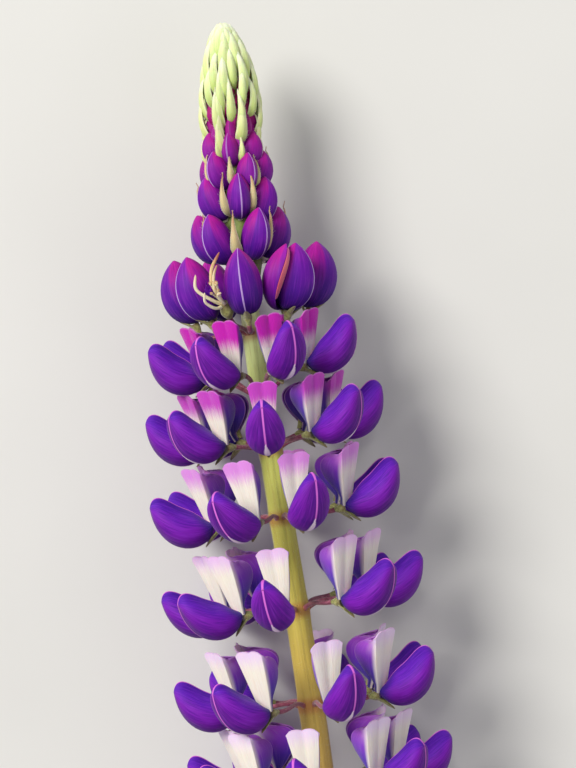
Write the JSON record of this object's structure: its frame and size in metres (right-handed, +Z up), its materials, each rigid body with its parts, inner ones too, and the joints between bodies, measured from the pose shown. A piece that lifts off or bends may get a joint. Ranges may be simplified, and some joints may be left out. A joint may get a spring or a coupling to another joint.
{
  "type": "lupin flower spike",
  "caption": "Cut lupin flower spike lying on its side: whorls of pea-shaped violet flowers with pale banners round a green stem, closed buds above and a pale bract tip.",
  "frame": {"origin": "on the surface that the spike lies on, under the middle of its bounding box", "axes": "+Y from the cut end of the stem to the growing tip, +X to the right of it seen from above, +Z up from the surface"},
  "size_m": [0.0731, 0.2514, 0.0556],
  "materials": {
    "stem": "living stem, yellow-green to olive, fine downy hairs, maroon stalks and green-brown calyces",
    "petals": "soft matte petals, deep violet wings with pale margins, white to magenta banners",
    "buds": "soft matte closed petals, violet with magenta upper parts",
    "bracts": "thin matte bracts, pale yellow-green with a cream edge, covered in fine down",
    "stamens": "thin curled filaments, cream to tan"
  },
  "bodies": {
    "root": {"flower_1_1": "petals", "flower_1_2": "petals", "flower_1_3": "petals", "flower_1_4": "petals", "flower_1_5": "petals", "flower_1_6": "petals", "flower_1_7": "petals", "flower_2_1": "petals", "flower_2_2": "petals", "flower_2_3": "petals", "flower_2_4": "petals", "flower_2_5": "petals", "flower_2_6": "petals", "flower_2_7": "petals", "flower_3_1": "petals", "flower_3_2": "petals", "flower_3_3": "petals", "flower_3_4": "petals", "flower_3_5": "petals", "flower_3_6": "petals", "flower_3_7": "petals", "flower_4_1": "petals", "flower_4_2": "petals", "flower_4_3": "petals", "flower_4_4": "petals", "flower_4_5": "petals", "flower_4_6": "petals", "flower_4_7": "petals", "flower_5_1": "petals", "flower_5_2": "petals", "flower_5_3": "petals", "flower_5_4": "petals", "flower_5_5": "petals", "flower_5_6": "petals", "flower_5_7": "petals", "flower_6_1": "petals", "flower_6_2": "petals", "flower_6_3": "petals", "flower_6_4": "petals", "flower_6_5": "petals", "flower_6_6": "petals", "flower_6_7": "petals", "flower_7_1": "petals", "flower_7_2": "petals", "flower_7_3": "petals", "flower_7_4": "petals", "flower_7_5": "petals", "flower_7_6": "petals", "flower_7_7": "petals", "flower_8_1": "petals", "flower_8_2": "petals", "flower_8_3": "petals", "flower_8_4": "petals", "flower_8_5": "petals", "flower_8_6": "petals", "flower_8_7": "petals", "bare_stamens": "stamens", "bud_cluster": "buds", "bud_tip": "bracts", "stem": "stem"}
  },
  "joints": []
}
